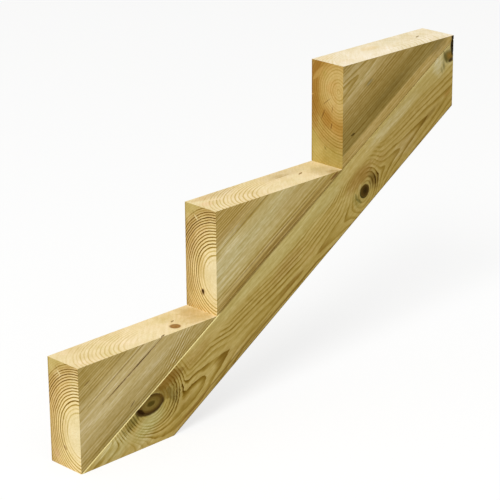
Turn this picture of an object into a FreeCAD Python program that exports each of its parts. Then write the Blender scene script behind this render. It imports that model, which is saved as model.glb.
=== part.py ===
import FreeCAD
import Part
import math
import os

# Open stair stringer, glued up from one sloping carrier board and three triangular step blocks.
# Millimetres. +X runs up the stair, +Y across the thickness, +Z up.
# The origin is the centre of the level cut that stands on the ground.

# Setting-out of the steps
rise = 175.0
going = 290.0
plumb_trim = 13.0          # taken off the top tread by the plumb cut at the head
step_names = ("lower", "middle", "upper")

# Timber
timber_thickness = 70.0
carrier_width = 100.0      # square to the board's length
arris_radius = 1.5         # eased on every planed long edge

# Glue lines
glue_thickness = 0.4
glue_margin = 0.5          # from the film's edge to where the eased arris begins

# Worked out from the sizes above
pitch = math.atan2(rise, going)
step_length = math.hypot(rise, going)
total_rise = rise * len(step_names)
total_run = going * len(step_names) - plumb_trim
carrier_top = -glue_thickness
carrier_bottom = carrier_top - carrier_width
film_width = timber_thickness - 2 * (arris_radius + glue_margin)
foot_centre = -(carrier_top + carrier_bottom) / 2 / math.sin(pitch)


def along_slope(shape):
    """Tilt a shape laid out along X so that it lies along the step line, through the toe."""
    tilted = shape.copy()
    tilted.rotate(FreeCAD.Vector(0, 0, 0), FreeCAD.Vector(0, 1, 0), -math.degrees(pitch))
    return tilted


def long_edges(board):
    """The four edges of a board that run along its length."""
    return [edge for edge in board.Edges if abs(edge.tangentAt(edge.FirstParameter).x) > 0.5]


def planed_board(low, high):
    """Uncut board on the slope, between two distances from the step line, with eased arrises."""
    start = FreeCAD.Vector(-timber_thickness, -timber_thickness / 2, low)
    length = total_run + total_rise
    board = Part.makeBox(length, timber_thickness, high - low, start)
    return along_slope(board.makeFillet(arris_radius, long_edges(board)))


def sawn(stock, front, rear, bottom, top):
    """What is left of the stock between two plumb cuts and two level cuts, moved to the origin."""
    corner = FreeCAD.Vector(front, -timber_thickness, bottom)
    kept = Part.makeBox(rear - front, 2 * timber_thickness, top - bottom, corner)
    piece = stock.common(kept).Solids[0]
    piece.translate(FreeCAD.Vector(-foot_centre, 0, 0))
    return piece


def carrier_board():
    """Straight board under the steps, cut level at the foot and plumb at the head."""
    board = planed_board(carrier_bottom, carrier_top)
    return sawn(board, 0, total_run, 0, total_rise)


def step_block(step):
    """Triangle with its long side down the slope, a plumb riser face and a level tread face."""
    board = planed_board(0, rise)
    return sawn(board, step * going, total_run, step * rise, (step + 1) * rise)


def glue_line(step):
    """Film between a step block and the carrier, cut off flush with the saw cuts at the ends."""
    start = FreeCAD.Vector(step * step_length, -film_width / 2, carrier_top)
    film = Part.makeBox(step_length, film_width, glue_thickness, start)
    return sawn(along_slope(film), 0, total_run, 0, total_rise)


pieces = {"carrier_board": carrier_board()}
for step, name in enumerate(step_names):
    pieces[name + "_step_block"] = step_block(step)
    pieces[name + "_glue_line"] = glue_line(step)

os.makedirs("parts", exist_ok=True)
for name, piece in pieces.items():
    piece.exportStep("parts/" + name + ".step")
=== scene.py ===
import math
from dataclasses import dataclass

import bmesh
import bpy
import numpy as np
from mathutils import Matrix, Vector


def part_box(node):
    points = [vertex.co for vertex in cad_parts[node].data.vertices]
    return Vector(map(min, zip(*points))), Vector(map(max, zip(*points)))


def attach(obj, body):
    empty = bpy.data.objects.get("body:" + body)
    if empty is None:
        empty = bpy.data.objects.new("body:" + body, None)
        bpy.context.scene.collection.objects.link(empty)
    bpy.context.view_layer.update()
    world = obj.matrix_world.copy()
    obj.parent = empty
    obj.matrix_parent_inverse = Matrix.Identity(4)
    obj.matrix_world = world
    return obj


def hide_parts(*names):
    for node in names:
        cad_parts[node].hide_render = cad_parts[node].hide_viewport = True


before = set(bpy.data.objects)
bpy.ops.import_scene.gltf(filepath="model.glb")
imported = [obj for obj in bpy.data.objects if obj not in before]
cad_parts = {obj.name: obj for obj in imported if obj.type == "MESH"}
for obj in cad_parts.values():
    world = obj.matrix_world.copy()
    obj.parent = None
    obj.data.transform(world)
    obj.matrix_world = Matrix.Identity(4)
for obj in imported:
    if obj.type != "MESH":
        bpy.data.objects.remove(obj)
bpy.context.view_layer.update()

# Open stair stringer of treated softwood: one sloping carrier board and three step blocks, glued up.
# Metres. Grain coordinates of a timber: along runs up the slope from the toe of the first riser,
# aside runs across the thickness, and across stands square to the slope, 0 on the glued line.

MM = 0.001

# Sizes of the stringer, read from the solids
lower_low, lower_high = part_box("lower_step_block")
carrier_low, carrier_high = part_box("carrier_board")
TOE = lower_low.x
RISE = lower_high.z - lower_low.z
GOING = lower_high.x - lower_low.x
RUN = carrier_high.x - TOE
HALF_THICK = lower_high.y
PITCH = math.atan2(RISE, GOING)
SIN = math.sin(PITCH)
COS = math.cos(PITCH)
BLOCK_DEPTH = RISE * COS
STEPS = ("lower", "middle", "upper")
NEAR_FACE = -HALF_THICK

# Long edges of the carrier, across: its level cut is centred on the origin
CARRIER_TOP = (TOE - carrier_low.x) * SIN
CARRIER_BOTTOM = 2 * TOE * SIN - CARRIER_TOP

# Edges and mesh
ARRIS = 1.5 * MM
ARRIS_PARTS = 5
GRID = 2.4 * MM
WIDE_GRID = 5.0 * MM
WELD = 0.002 * MM
PLACE_DIGITS = 7
SHARP_EDGE = math.radians(28)

# Numbers of a timber's materials
SIDE, FRONT_CUT, REAR_CUT = range(3)


# Places on the stringer

def row_points(along, aside, across):
    """Row-frame points of grain coordinates: the toe, plus along up the slope, plus across square to it."""
    along, aside, across = np.broadcast_arrays(along, aside, across)
    return np.stack((TOE + along * COS - across * SIN, aside, along * SIN + across * COS), -1)


def grain_place(level, aside, height):
    """Grain coordinates of a point given by its level distance from the toe and its height."""
    return level * COS + height * SIN, aside, height * COS - level * SIN


def on_riser(step, aside, height):
    """Grain coordinates of a point on a riser, by its height above the foot of it, in millimetres."""
    return grain_place(step * GOING, aside * MM, step * RISE + height * MM)


def on_tread(step, back, aside):
    """Grain coordinates of a point on a tread, by its distance back from the nose, in millimetres."""
    return grain_place(step * GOING + back * MM, aside * MM, (step + 1) * RISE)


def on_side(along, across):
    """Grain coordinates of a point on the near face, in millimetres."""
    return along * MM, NEAR_FACE, across * MM


def metres(sizes):
    """Sizes written in millimetres, as metres."""
    return tuple(size * MM for size in sizes)


def plumb_cut(distance, across):
    """Where a plumb cut at a level distance from the toe meets the line at across, measured along."""
    return (distance + across * SIN) / COS


def level_cut(height, across):
    """Where a level cut at a height above the ground meets the line at across, measured along."""
    return (height - across * COS) / SIN


# Meshes

def even_places(low, high, step):
    """Evenly spaced places from low to high, about a step apart."""
    return np.linspace(low, high, round((high - low) / step) + 1)


def joined_places(places, extra):
    """Two lists of places as one list in order, with each place once."""
    return np.unique(np.round(np.concatenate((places, extra)), PLACE_DIGITS))


def eased_rows(low, high, ease_high, extra=()):
    """Rows of a board's side from its lower to its upper edge, and how far each is set in from the face.

    An eased edge is a quarter circle of the arris radius. Between the edges the rows are evenly spaced, with
    the extra ones added.
    """
    quarter = np.linspace(0, math.pi / 2, ARRIS_PARTS + 1)
    flat = joined_places(even_places(low + ARRIS, high - ARRIS * ease_high, GRID), extra)
    rows = [low + ARRIS * (1 - np.cos(quarter[:-1])), flat]
    insets = [ARRIS * (1 - np.sin(quarter[:-1])), np.zeros(len(flat))]
    if ease_high:
        rows.append(high - rows[0][::-1] + low)
        insets.append(insets[0][::-1])
    return np.concatenate(rows), np.concatenate(insets)


def grid_faces(rows, columns, start):
    """Four-cornered faces of a grid of points numbered row by row from start."""
    number = start + np.arange(rows * columns).reshape(rows, columns)
    corners = (number[:-1, :-1], number[:-1, 1:], number[1:, 1:], number[1:, :-1])
    return np.stack(corners, -1).reshape(-1, 4)


def welded_piece(name, grids, materials):
    """One closed mesh of grids of points, each with its material number, welded where their edges meet."""
    starts = np.cumsum([0] + [points.shape[0] * points.shape[1] for points, _ in grids])
    faces = [grid_faces(*points.shape[:2], start) for (points, _), start in zip(grids, starts)]
    numbers = [np.full(len(quads), number) for quads, (_, number) in zip(faces, grids)]
    mesh = bpy.data.meshes.new(name)
    places = np.concatenate([points.reshape(-1, 3) for points, _ in grids])
    mesh.from_pydata(places, [], np.concatenate(faces))
    for material in materials:
        mesh.materials.append(material)
    mesh.polygons.foreach_set("material_index", np.concatenate(numbers).astype(np.int32))
    surface = bmesh.new()
    surface.from_mesh(mesh)
    bmesh.ops.remove_doubles(surface, verts=surface.verts, dist=WELD)
    bmesh.ops.dissolve_degenerate(surface, edges=surface.edges, dist=WELD)
    bmesh.ops.recalc_face_normals(surface, faces=surface.faces)
    surface.to_mesh(mesh)
    surface.free()
    mesh.shade_smooth()
    mesh.set_sharp_from_angle(angle=SHARP_EDGE)
    piece = bpy.data.objects.new(name, mesh)
    bpy.context.scene.collection.objects.link(piece)
    return piece


def timber(name, rows, insets, front, rear, materials, columns, sink=None, pit=None):
    """A board between two cuts: its side profile, carried along the grain from the front cut to the rear.

    Each row runs from front(across) to rear(across). The sides stand half the thickness out, less the inset
    of the eased edges and less what sink takes off the near face. The two cuts are grids of the same rows,
    with columns at those shares of the thickness, and pit is the depth taken out of the front one.
    """
    begin = front(rows)
    length = rear(rows) - begin
    share = np.linspace(0, 1, round(length.max() / GRID) + 1)
    along = begin[:, None] + length[:, None] * share
    across = np.broadcast_to(rows[:, None], along.shape)
    near = np.broadcast_to((NEAR_FACE + insets)[:, None], along.shape)
    if sink:
        near = near + sink(along, across)
    far = np.broadcast_to((HALF_THICK - insets)[:, None], along.shape)
    wide = columns / columns[-1]

    def cut(edge, depth=None):
        aside = near[:, edge, None] + (far - near)[:, edge, None] * wide
        level = across[:, edge, None]
        taken = depth(aside, level) if depth else 0
        return row_points(along[:, edge, None] + taken, aside, level)

    def edge_face(row):
        aside = near[row] + (far - near)[row] * wide[:, None]
        return row_points(along[row], aside, across[row])

    grids = [
        (row_points(along, near, across), SIDE),
        (row_points(along, far, across), SIDE),
        (edge_face(0), SIDE),
        (edge_face(-1), SIDE),
        (cut(0, pit), FRONT_CUT),
        (cut(-1), REAR_CUT),
    ]
    return welded_piece(name, grids, materials)


# Shader fields

def tone(red, green, blue):
    """Linear colour of an sRGB colour written from 0 to 255, by the standard curve."""
    srgb = np.array((red, green, blue)) / 255
    linear = np.where(srgb <= 0.04045, srgb / 12.92, ((srgb + 0.055) / 1.055) ** 2.4)
    return (*linear.tolist(), 1.0)


def darker(colour, share):
    """A linear colour with each channel times the share."""
    return (*(channel * share for channel in colour[:3]), 1.0)


def grey(share):
    """A strength from 0 to 1 as a colour of the ramps."""
    return (share, share, share, 1.0)


def colours(*stops):
    """Stops of a colour ramp, from rows of a place, red, green and blue."""
    return [(place, tone(*srgb)) for place, *srgb in stops]


def greys(*stops):
    """Stops of a ramp of strengths, from pairs of a place and a share."""
    return [(place, grey(share)) for place, share in stops]


def plug(socket, value):
    """Sets a socket: a field is linked to it, and anything else is its value."""
    if isinstance(value, Field):
        socket.id_data.links.new(value.socket, socket)
    else:
        socket.default_value = value


class Field:
    """A number or colour that varies over a surface: one output of a shader node."""

    def __init__(self, socket):
        self.socket = socket

    def math(self, operation, *others):
        """The field and the others, put through one operation of a Math node."""
        node = self.socket.id_data.nodes.new("ShaderNodeMath")
        node.operation = operation
        for socket, value in zip(node.inputs, (self, *others)):
            plug(socket, value)
        return Field(node.outputs[0])

    def __add__(self, other):
        return self.math("ADD", other)

    def __sub__(self, other):
        return self.math("SUBTRACT", other)

    def __mul__(self, other):
        return self.math("MULTIPLY", other)

    def __truediv__(self, other):
        return self.math("DIVIDE", other)

    def __neg__(self):
        return self * -1.0

    def __rsub__(self, other):
        return self.math("MULTIPLY_ADD", -1.0, other)

    __radd__ = __add__

    def power(self, exponent):
        """The field raised to an exponent."""
        return self.math("POWER", exponent)

    def smooth(self, low, high):
        """0 at low, 1 at high and an S-curve between; low may be the greater."""
        node = self.socket.id_data.nodes.new("ShaderNodeMapRange")
        node.interpolation_type = "SMOOTHSTEP"
        for socket, value in zip(node.inputs, (self, low, high)):
            plug(socket, value)
        return Field(node.outputs[0])

    def bell(self):
        """A bell curve of a distance: the exponential of minus its square."""
        return (-(self * self)).math("EXPONENT")


WOOD_GAINS = (0.77, 1.0, 2.0)
SHEEN = 0.02
SAW_DETAIL = 2.0

# Numbers of the sockets by which a Mix node takes and gives colours
MIX_SHARE, MIX_UNDER, MIX_OVER = 0, 6, 7
MIX_COLOUR = 2


def mixed(nodes, share, under, over, way="MIX"):
    """One colour over another by a share."""
    node = nodes.new("ShaderNodeMix")
    node.data_type = "RGBA"
    node.blend_type = way
    for number, value in ((MIX_SHARE, share), (MIX_UNDER, under), (MIX_OVER, over)):
        plug(node.inputs[number], value)
    return Field(node.outputs[MIX_COLOUR])


class Finish:
    """One material: its nodes, the grain coordinates of the timber, and calls that add textures."""

    def __init__(self, name):
        self.material = bpy.data.materials.new(name)
        self.material.use_nodes = True
        self.nodes = self.material.node_tree.nodes
        self.shader = self.nodes["Principled BSDF"]
        self.place = self.add("ShaderNodeTexCoord", {}, output="Object")
        self.grain = self.mapped(self.place, (TOE, 0, 0), (0, -PITCH, 0), (1, 1, 1))
        self.along, self.aside, self.across = self.parts(self.grain)

    def add(self, kind, inputs, output=0, **settings):
        """One output of a new node with these inputs and settings."""
        node = self.nodes.new(kind)
        for setting, value in settings.items():
            setattr(node, setting, value)
        for socket, value in inputs.items():
            plug(node.inputs[socket], value)
        return Field(node.outputs[output])

    def parts(self, vector):
        """The three numbers of a vector."""
        node = self.nodes.new("ShaderNodeSeparateXYZ")
        plug(node.inputs[0], vector)
        return [Field(output) for output in node.outputs]

    def mapped(self, vector, place, turn, size):
        """The vector seen from a frame that stands at place, turned about the axes and sized."""
        inputs = {"Vector": vector, "Location": place, "Rotation": turn, "Scale": size}
        return self.add("ShaderNodeMapping", inputs, vector_type="TEXTURE")

    def local(self, place, size, turn):
        """Grain coordinates about a place, turned by degrees about the thickness, in units of the sizes."""
        return self.mapped(self.grain, place, (0, math.radians(turn), 0), size)

    def vector_math(self, operation, inputs, output="Value"):
        """A number or a vector made of vectors by one operation."""
        return self.add("ShaderNodeVectorMath", inputs, output=output, operation=operation)

    def length(self, vector):
        """Length of a vector."""
        return self.vector_math("LENGTH", {0: vector})

    def reach(self, place, size, turn=0.0):
        """Distance from a place in the timber in units of the three sizes: 1 on that ellipsoid."""
        return self.length(self.local(place, size, turn))

    def from_line(self, start, end):
        """Distance from the line between two places, and the share of it where the nearest point lies."""
        span = tuple(there - here for here, there in zip(start, end))
        squared = sum(step * step for step in span)
        here = self.vector_math("SUBTRACT", {0: self.grain, 1: start}, "Vector")
        share = self.vector_math("DOT_PRODUCT", {0: here, 1: span}) / squared
        share = share.math("MAXIMUM", 0.0).math("MINIMUM", 1.0)
        nearest = self.vector_math("SCALE", {0: span, "Scale": share}, "Vector")
        return self.vector_math("DISTANCE", {0: here, 1: nearest}), share

    def texture(self, vector, detail, roughness=0.5):
        """Smooth noise from about -1 to 1, with one wave to a unit of the vector."""
        inputs = {"Vector": vector, "Scale": 1.0, "Detail": detail, "Roughness": roughness}
        return self.add("ShaderNodeTexNoise", inputs) * 2.0 - 1.0

    def noise(self, waves, detail=2.0, roughness=0.5, seed=0.0):
        """Noise in the timber, with so many waves in a metre along, aside and across."""
        along, aside, across = waves
        scaled = {"X": self.along * along + seed, "Y": self.aside * aside, "Z": self.across * across}
        return self.texture(self.add("ShaderNodeCombineXYZ", scaled), detail, roughness)

    def lines(self, along, field, waves, detail):
        """Noise that follows the lines of a field, with so many waves in a metre along and of the field."""
        vector = self.add("ShaderNodeCombineXYZ", {"X": self.along * along, "Y": field * waves})
        return self.texture(vector, detail)

    def saw_lines(self, turn, waves):
        """Noise in straight lines across a cut: turned about the axes, so many waves in a metre each way."""
        vector = self.mapped(self.place, (0, 0, 0), turn, tuple(1 / count for count in waves))
        return self.texture(vector, SAW_DETAIL)

    def chance(self, number):
        """A random share from 0 to 1 for each whole number."""
        return self.add("ShaderNodeTexWhiteNoise", {"W": number}, noise_dimensions="1D")

    def ramp(self, field, stops, unit=MM, way="LINEAR"):
        """Colour read off a list of (place, colour) stops, the places in the unit."""
        first = stops[0][0] * unit
        span = stops[-1][0] * unit - first
        node = self.nodes.new("ShaderNodeValToRGB")
        plug(node.inputs[0], (field - first) / span)
        node.color_ramp.interpolation = way
        steps = node.color_ramp.elements
        for place, colour in stops[1:-1]:
            steps.new((place * unit - first) / span).color = colour
        steps[0].color = stops[0][1]
        steps[len(steps) - 1].color = stops[-1][1]
        return Field(node.outputs[0])

    def curve(self, field, stops):
        """A length read off a smooth curve through (millimetres, millimetres) stops."""
        most = max(height for _, height in stops)
        shares = greys(*((place, height / most) for place, height in stops))
        return self.ramp(field, shares, way="CARDINAL") * (most * MM)

    def blend(self, share, under, over, way="MIX"):
        """One colour over another by a share."""
        return mixed(self.nodes, share, under, over, way)

    def shade(self, colour, amount):
        """Wood made lighter or darker: each channel times the exponential of the amount times its gain.

        Blue changes most and red least, as wood does when it browns.
        """
        factors = [(amount * gain).math("EXPONENT") for gain in WOOD_GAINS]
        tint = self.add("ShaderNodeCombineColor", dict(zip(("Red", "Green", "Blue"), factors)))
        return self.blend(1.0, colour, tint, "MULTIPLY")

    def dress(self, colour, height, relief, roughness):
        """Puts colour, bump and roughness on the shader and gives back the finished material."""
        bump = self.add("ShaderNodeBump", {"Height": height, "Distance": relief, "Strength": 1.0})
        plug(self.shader.inputs["Base Color"], colour)
        plug(self.shader.inputs["Normal"], bump)
        plug(self.shader.inputs["Roughness"], roughness)
        self.shader.inputs["Specular IOR Level"].default_value = SHEEN
        return self.material


# Growth of each timber

@dataclass
class Patch:
    """A soft patch of colour in the wood: its middle, half sizes in millimetres, colour and strength.

    Turn is in degrees about the thickness, and soft is the width of its edge as a share of its size.
    """

    place: tuple
    size: tuple
    colour: tuple
    strength: float
    turn: float = 0.0
    soft: float = 0.6


@dataclass
class Stroke:
    """A narrow mark from one place to another: its half width in millimetres, colour and strength."""

    start: tuple
    end: tuple
    width: float
    colour: tuple
    strength: float


@dataclass
class Curl:
    """Ripples in the grain: middle, half sizes and spacing in millimetres, turn in degrees and strength."""

    place: tuple
    size: tuple
    spacing: float
    turn: float
    strength: float


@dataclass
class Knot:
    """A branch cut through: the ellipse it shows, in millimetres and degrees, and its colours outwards.

    The bark is a darker ellipse behind it, moved a little. Around it the rings of the timber form a cone, so
    deep at the branch, with slopes along and across the grain and a lean that tilts it along the grain. Soft
    is the width of its edge.
    """

    place: tuple
    size: tuple
    turn: float
    stops: list
    halo: tuple
    bark: tuple
    bark_shift: tuple
    deep: float = 0.0
    slopes: tuple = (1.0, 1.0)
    lean: float = 0.0
    soft: float = 0.1


@dataclass
class Board:
    """The wood of one timber: its growth, and the colours and growth lines of its planed side by radius.

    Depth is how dark the lines are, begin the share of a ring where its latewood begins on the side, and
    least the strength of the faintest ring.
    """

    rings: object
    turns: object
    side: list
    side_late: list
    depth: float
    patches: tuple
    strokes: tuple
    knots: tuple = ()
    curls: tuple = ()
    carrier: bool = False
    begin: float = 0.2
    least: float = 0.25


@dataclass
class Cut:
    """The look of a sawn cut: colours and lines by radius, depth of the lines, saw lines, tints and marks.

    The edge at the far side is darkened by far_edge. Where fade is given, the lines are faint at its first
    distance across the grain and full at its second, in millimetres.
    """

    stops: list
    late: list
    depth: float
    saw_turn: tuple
    tints: tuple
    patches: tuple = ()
    strokes: tuple = ()
    knots: tuple = ()
    far_edge: float = 0.0
    fade: tuple = ()


FOOT_KNOT = Knot(
    place=on_side(160.5, -14.5), size=(29.5, 45, 16), turn=27, halo=tone(178, 158, 82),
    bark=tone(58, 34, 4), bark_shift=(-3.0, 0, -0.8), deep=40, slopes=(0.95, 1.05), lean=-0.12,
    stops=colours(
        (0, 80, 66, 18), (0.18, 94, 78, 26), (0.36, 138, 116, 55), (0.5, 130, 108, 48), (0.72, 106, 82, 30),
        (0.9, 72, 47, 14), (1.1, 110, 80, 30)),
)
MIDDLE_KNOT = Knot(
    place=on_side(700, -72), size=(12, 45, 10.8), turn=-30, halo=tone(174, 154, 88),
    bark=tone(56, 46, 8), bark_shift=(-2.2, 0, -0.5), deep=7, slopes=(0.68, 1.0), lean=0.08,
    stops=colours((0, 50, 34, 6), (0.4, 66, 48, 12), (0.7, 82, 60, 18), (1.1, 104, 80, 30)),
)
HEAD_KNOT = Knot(
    place=on_side(979, -17), size=(12, 40, 9.5), turn=50, halo=tone(212, 199, 146),
    bark=tone(124, 112, 56), bark_shift=(-3.2, 0, 0.5), deep=-45, slopes=(1.2, 1.2), soft=0.5,
    stops=colours((0, 156, 118, 48), (0.35, 142, 110, 46), (0.8, 124, 104, 48), (1.1, 120, 106, 52)),
)
TREAD_KNOT = Knot(
    place=on_tread(0, 216, -18), size=(8.6, 8.6, 8.6), turn=0, halo=tone(238, 208, 146),
    bark=tone(146, 104, 52), bark_shift=(-0.7, 0.7, 0.4), soft=0.25,
    stops=colours((0, 150, 108, 56), (0.45, 174, 130, 72), (0.8, 160, 114, 58), (1.1, 186, 144, 84)),
)
CARRIER_KNOTS = (FOOT_KNOT, MIDDLE_KNOT, HEAD_KNOT)

# Pith of the carrier: how far under the glued line and how far behind the near face it lies, by along
PITH_LINE = ((0, 66), (266, 68), (333, 70), (430, 77), (512, 82), (632, 82), (700, 72), (1010, 71))
PITH_DEPTHS = ((0, 40), (95, 36), (130, 24), (165, 17), (205, 15.2), (245, 15.2), (267, 18), (333, 23.3),
               (430, 26.5), (512, 28.6), (535, 29.3), (558, 28.6), (632, 23.3), (668, 18),
               (700, 20), (720, 22), (738, 25), (761, 29.5), (807, 34.2), (901, 39.2), (1010, 45))

# Shape of the rings: two powers that bend them, and what flattens, merges and moves the carrier's
POINTED = 1.4
ROUND = 2.0
FLATNESS = greys((0, 0.5), (300, 0.47), (350, 0.82), (430, 0.85), (1010, 0.85))
RING_MERGE = 12 * MM
CROWDING = 28 * MM
RIPPLE_WAVES = (90, 90, 130)
RIPPLE_HEIGHT = 3.0 * MM
BRANCH_ENDS = (-20 * MM, 10 * MM)
BRANCH_END_RADIUS = 80 * MM
ENDLESS = 1000.0
SPOT_DEPTH = 60 * MM


def near_spot(along, across, half_along, half_across):
    """Place and half sizes of a spot on the near face that goes deep into the timber, in millimetres."""
    return on_side(along, across), (half_along * MM, SPOT_DEPTH, half_across * MM)


# Where the grain of the carrier changes about its knots
RIPPLED = near_spot(204, -36, 32, 32)
COMBED = near_spot(118, -10, 18, 13)
BUCKLED = near_spot(728, -68, 15, 18)
CROWDED = near_spot(240, -5, 75, 22)
FADED = (
    near_spot(668, -72, 24, 26),
    near_spot(706, -36, 26, 13),
    near_spot(195, -5, 15, 9),
    near_spot(222, -60, 14, 9),
    near_spot(545, -66, 30, 10),
)


def ring_radius(back, up, bend):
    """Distance from a pith: both distances to the power bend, added, and the root taken; 2 gives circles."""
    total = back.math("ABSOLUTE").power(bend) + up.math("ABSOLUTE").power(bend)
    return total.power(1 / bend)


def carrier_rings(finish):
    """Growth radius in the carrier board: distance from a pith that wanders behind the near face.

    A bell-shaped swell crowds the rings beside the knot at the foot. Each knot is a cone of rings: its
    slopes times the distances from the branch, plus its lean, less its depth, and far behind the face it
    ends. The radius is the smooth least of all of these, with ripples.
    """
    back = finish.aside - NEAR_FACE - finish.curve(finish.along, PITH_DEPTHS)
    up = (finish.across + finish.curve(finish.along, PITH_LINE)) * finish.ramp(finish.along, FLATNESS)
    radius = ring_radius(back, up, POINTED) + finish.reach(*CROWDED).bell() * CROWDING
    ended = finish.aside.smooth(*BRANCH_ENDS) * BRANCH_END_RADIUS
    for knot in CARRIER_KNOTS:
        sizes = (1 / knot.slopes[0], ENDLESS, 1 / knot.slopes[1])
        cone = finish.reach(knot.place, sizes, knot.turn) + (finish.along - knot.place[0]) * knot.lean
        radius = radius.math("SMOOTH_MIN", cone - knot.deep * MM + ended, RING_MERGE)
    ripple = finish.noise(RIPPLE_WAVES) * finish.reach(*RIPPLED).bell()
    return radius + ripple * RIPPLE_HEIGHT


def block_rings(pith_aside, pith_across, lean=0.0, start=0.0, bend=ROUND):
    """Growth radius in a step block: distance from a pith that leans away from the near face up the grain.

    The pith stands at pith_aside and pith_across, in millimetres, where along is start.
    """
    def rings(finish):
        back = finish.aside - pith_aside * MM - (finish.along - start * MM) * lean
        return ring_radius(back, finish.across - pith_across * MM, bend)
    return rings


def even_turns(spacing, first=0.0):
    """Ring number by radius where all rings are as wide: the radius less the first, over the spacing."""
    return lambda radius: (radius - first * MM) / (spacing * MM)


# Rings of the two lower blocks: radius of the outer edge, rings up to there, the power and the first share
EDGE_RADIUS = 92.2 * MM
EDGE_RINGS = 17.3
NARROWING = 1.58
RING_START = 0.45


def narrowing_turns(radius):
    """Ring number by radius where rings get narrower outwards: a power of the radius over the edge's."""
    return (radius / EDGE_RADIUS).power(NARROWING) * EDGE_RINGS + RING_START


# Latewood: waves of the noise that moves it, along and by radius, and the share of a ring where it ends
WANDER_ALONG = 2.0
WANDER_WAVES = 40.0
LATE_END = 0.94


def growth(finish, board, radius, begin, full, wander):
    """Darkness of the latewood: in each ring an S-curve from begin to full that drops at the ring's edge.

    The ring number is moved a little by noise, and each ring has a random strength.
    """
    turns = board.turns(radius) + finish.lines(WANDER_ALONG, radius, WANDER_WAVES, detail=1) * wander
    part = turns.math("FRACT")
    late = part.smooth(begin, full) * part.smooth(1.0, LATE_END)
    return late * (finish.chance(turns.math("FLOOR")) * (1.0 - board.least) + board.least)


# Curls, patches, strokes and knots: waves in a metre of the noise that makes them uneven, and its share
CURL_WAVES = (25, 60, 60)
CURL_WOBBLE = 3.0
PATCH_WAVES = (90, 150, 150)
PATCH_UNEVEN = 0.6
PATCH_SPREAD = 0.5
STROKE_WAVES = (150, 200, 200)
STROKE_UNEVEN = 0.5
STROKE_TAPER = 0.7
STROKE_EDGE = (1.4, 0.6)
KNOT_WAVES = (70, 70, 70)
KNOT_SEED = 3.0
BRANCH_UNEVEN = 0.08
BRANCH_CLOUD = 0.35
BRANCH_EDGE = 0.94
BRANCH_RINGS = 24.0
BRANCH_RING_DEPTH = 0.08
BARK_UNEVEN = 0.1
BARK_EDGE = 1.02
BARK_STRENGTH = 0.92
HALO_EDGE = (2.1, 1.0)
HALO_STRENGTH = 0.4


def curl_waves(finish, curl):
    """Ripples in the grain, dark and pale in turn: a sine across an ellipse that fades as a bell curve."""
    local = finish.local(curl.place, metres(curl.size), curl.turn)
    wobble = finish.noise(CURL_WAVES) * CURL_WOBBLE
    phase = finish.parts(local)[2] * (2 * math.pi * curl.size[2] / curl.spacing) + wobble
    return phase.math("SINE") * finish.length(local).bell() * curl.strength


def add_patches(finish, colour, patches):
    """Lays soft-edged patches of colour into the wood, under its grain."""
    rough = finish.noise(PATCH_WAVES)
    for patch in patches:
        distance = finish.reach(patch.place, metres(patch.size), patch.turn)
        uneven = distance + rough * (PATCH_UNEVEN * patch.soft)
        cover = uneven.smooth(1.0 + patch.soft * PATCH_SPREAD, 1.0 - patch.soft)
        colour = finish.blend(cover * patch.strength, colour, patch.colour)
    return colour


def add_strokes(finish, colour, strokes):
    """Lays narrow marks of colour over the wood: each is widest at its middle and thins to its ends."""
    rough = finish.noise(STROKE_WAVES)
    for stroke in strokes:
        gap, share = finish.from_line(stroke.start, stroke.end)
        middle = share * 2.0 - 1.0
        half_width = (1.0 - middle * middle * STROKE_TAPER) * (stroke.width * MM)
        cover = (gap / half_width + rough * STROKE_UNEVEN).smooth(*STROKE_EDGE)
        colour = finish.blend(cover * stroke.strength, colour, stroke.colour)
    return colour


def add_knot(finish, colour, knot):
    """Lays a knot over the wood: a halo, the bark behind it, and the branch with rings of its own."""
    uneven = finish.noise(KNOT_WAVES, detail=3, seed=KNOT_SEED)
    size = metres(knot.size)
    bark_place = [place + shift * MM for place, shift in zip(knot.place, knot.bark_shift)]
    distance = finish.reach(knot.place, size, knot.turn) + uneven * BRANCH_UNEVEN
    rim = finish.reach(bark_place, size, knot.turn) + uneven * BARK_UNEVEN
    rings = (distance * BRANCH_RINGS).math("SINE") * BRANCH_RING_DEPTH
    branch = finish.shade(finish.ramp(distance, knot.stops, unit=1.0), rings + uneven * BRANCH_CLOUD)
    bark_cover = rim.smooth(BARK_EDGE + knot.soft, BARK_EDGE - knot.soft) * BARK_STRENGTH
    branch_cover = distance.smooth(BRANCH_EDGE + knot.soft, BRANCH_EDGE - knot.soft)
    colour = finish.blend(distance.smooth(*HALO_EDGE) * HALO_STRENGTH, colour, knot.halo)
    colour = finish.blend(bark_cover, colour, knot.bark)
    return finish.blend(branch_cover, colour, branch)


# Arrises of the carrier: where they lie across, where the upper one changes, and how strong they are.
# Painted light: a painted highlight on the upper arris under the lower block, a dark joint line with
# painted shade on the upper arris beyond it, and painted shade on the lower arris.
ARRIS_HIGHLIGHT = tone(255, 238, 168)
JOINT_LINE_AND_ARRIS_SHADE = tone(118, 88, 38)
UPPER_EDGE = (CARRIER_TOP - 2.2 * MM, CARRIER_TOP - 1.0 * MM)
SHADED_LOWER_ARRIS = (CARRIER_BOTTOM + 3.5 * MM, CARRIER_BOTTOM + 1.0 * MM)
ARRIS_HIGHLIGHT_ENDS = (352 * MM, 338 * MM)
JOINT_LINE_AND_SHADE_FADES = (670 * MM, 690 * MM)
ARRIS_HIGHLIGHT_STRENGTH = 0.95
JOINT_LINE_AND_SHADE_STRENGTH = 0.55
JOINT_LINE_AND_SHADE_LOSS = 0.4
SHADED_LOWER_ARRIS_STRENGTH = 0.5


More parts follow.
